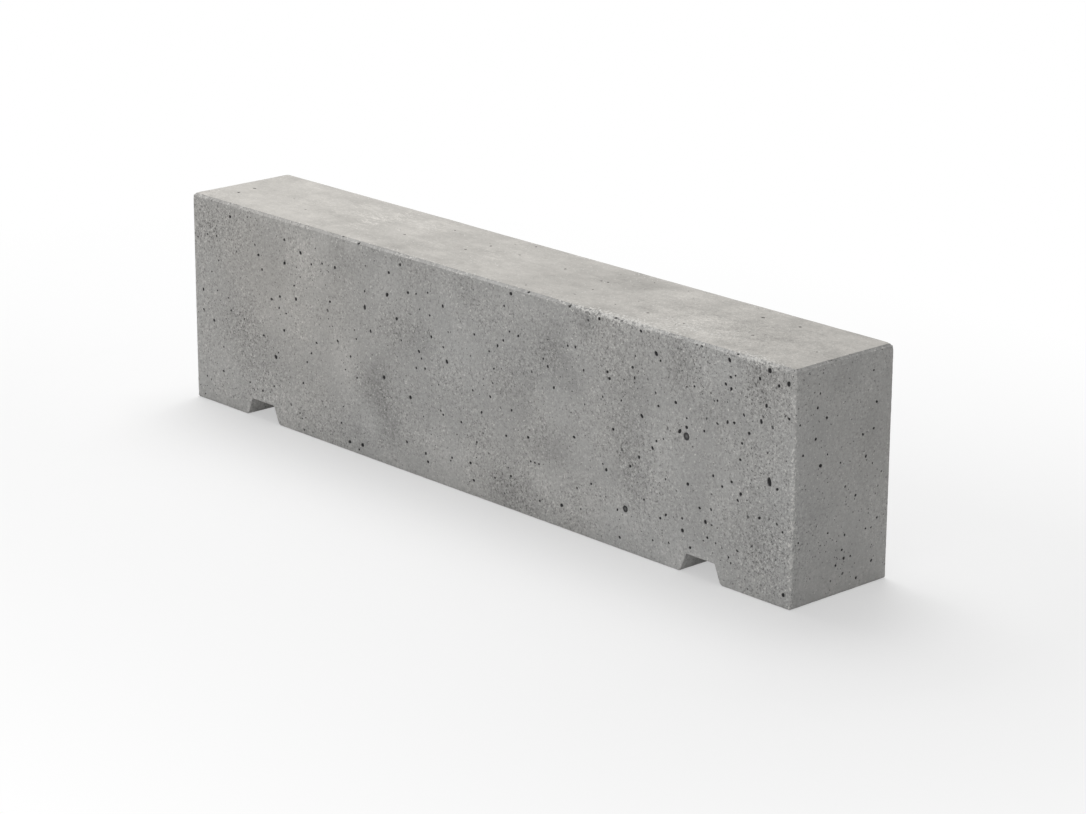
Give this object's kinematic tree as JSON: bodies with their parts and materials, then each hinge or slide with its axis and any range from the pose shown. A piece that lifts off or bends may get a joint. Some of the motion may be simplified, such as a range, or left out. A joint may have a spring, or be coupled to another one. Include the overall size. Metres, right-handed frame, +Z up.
{
  "type": "concrete barrier",
  "caption": "Free-standing precast concrete barrier block with chamfered arrises and trapezoidal slots across its underside.",
  "frame": {"origin": "middle of the underside, on the ground", "axes": "+X along the block's length, +Y across its thickness, +Z up"},
  "size_m": [3, 0.445, 0.775],
  "materials": {
    "concrete": "cast concrete, smooth from the mould, mottled grey with small air holes and worn arrises, trowelled on top"
  },
  "bodies": {
    "root": {"barrier_block": "concrete"}
  },
  "joints": []
}
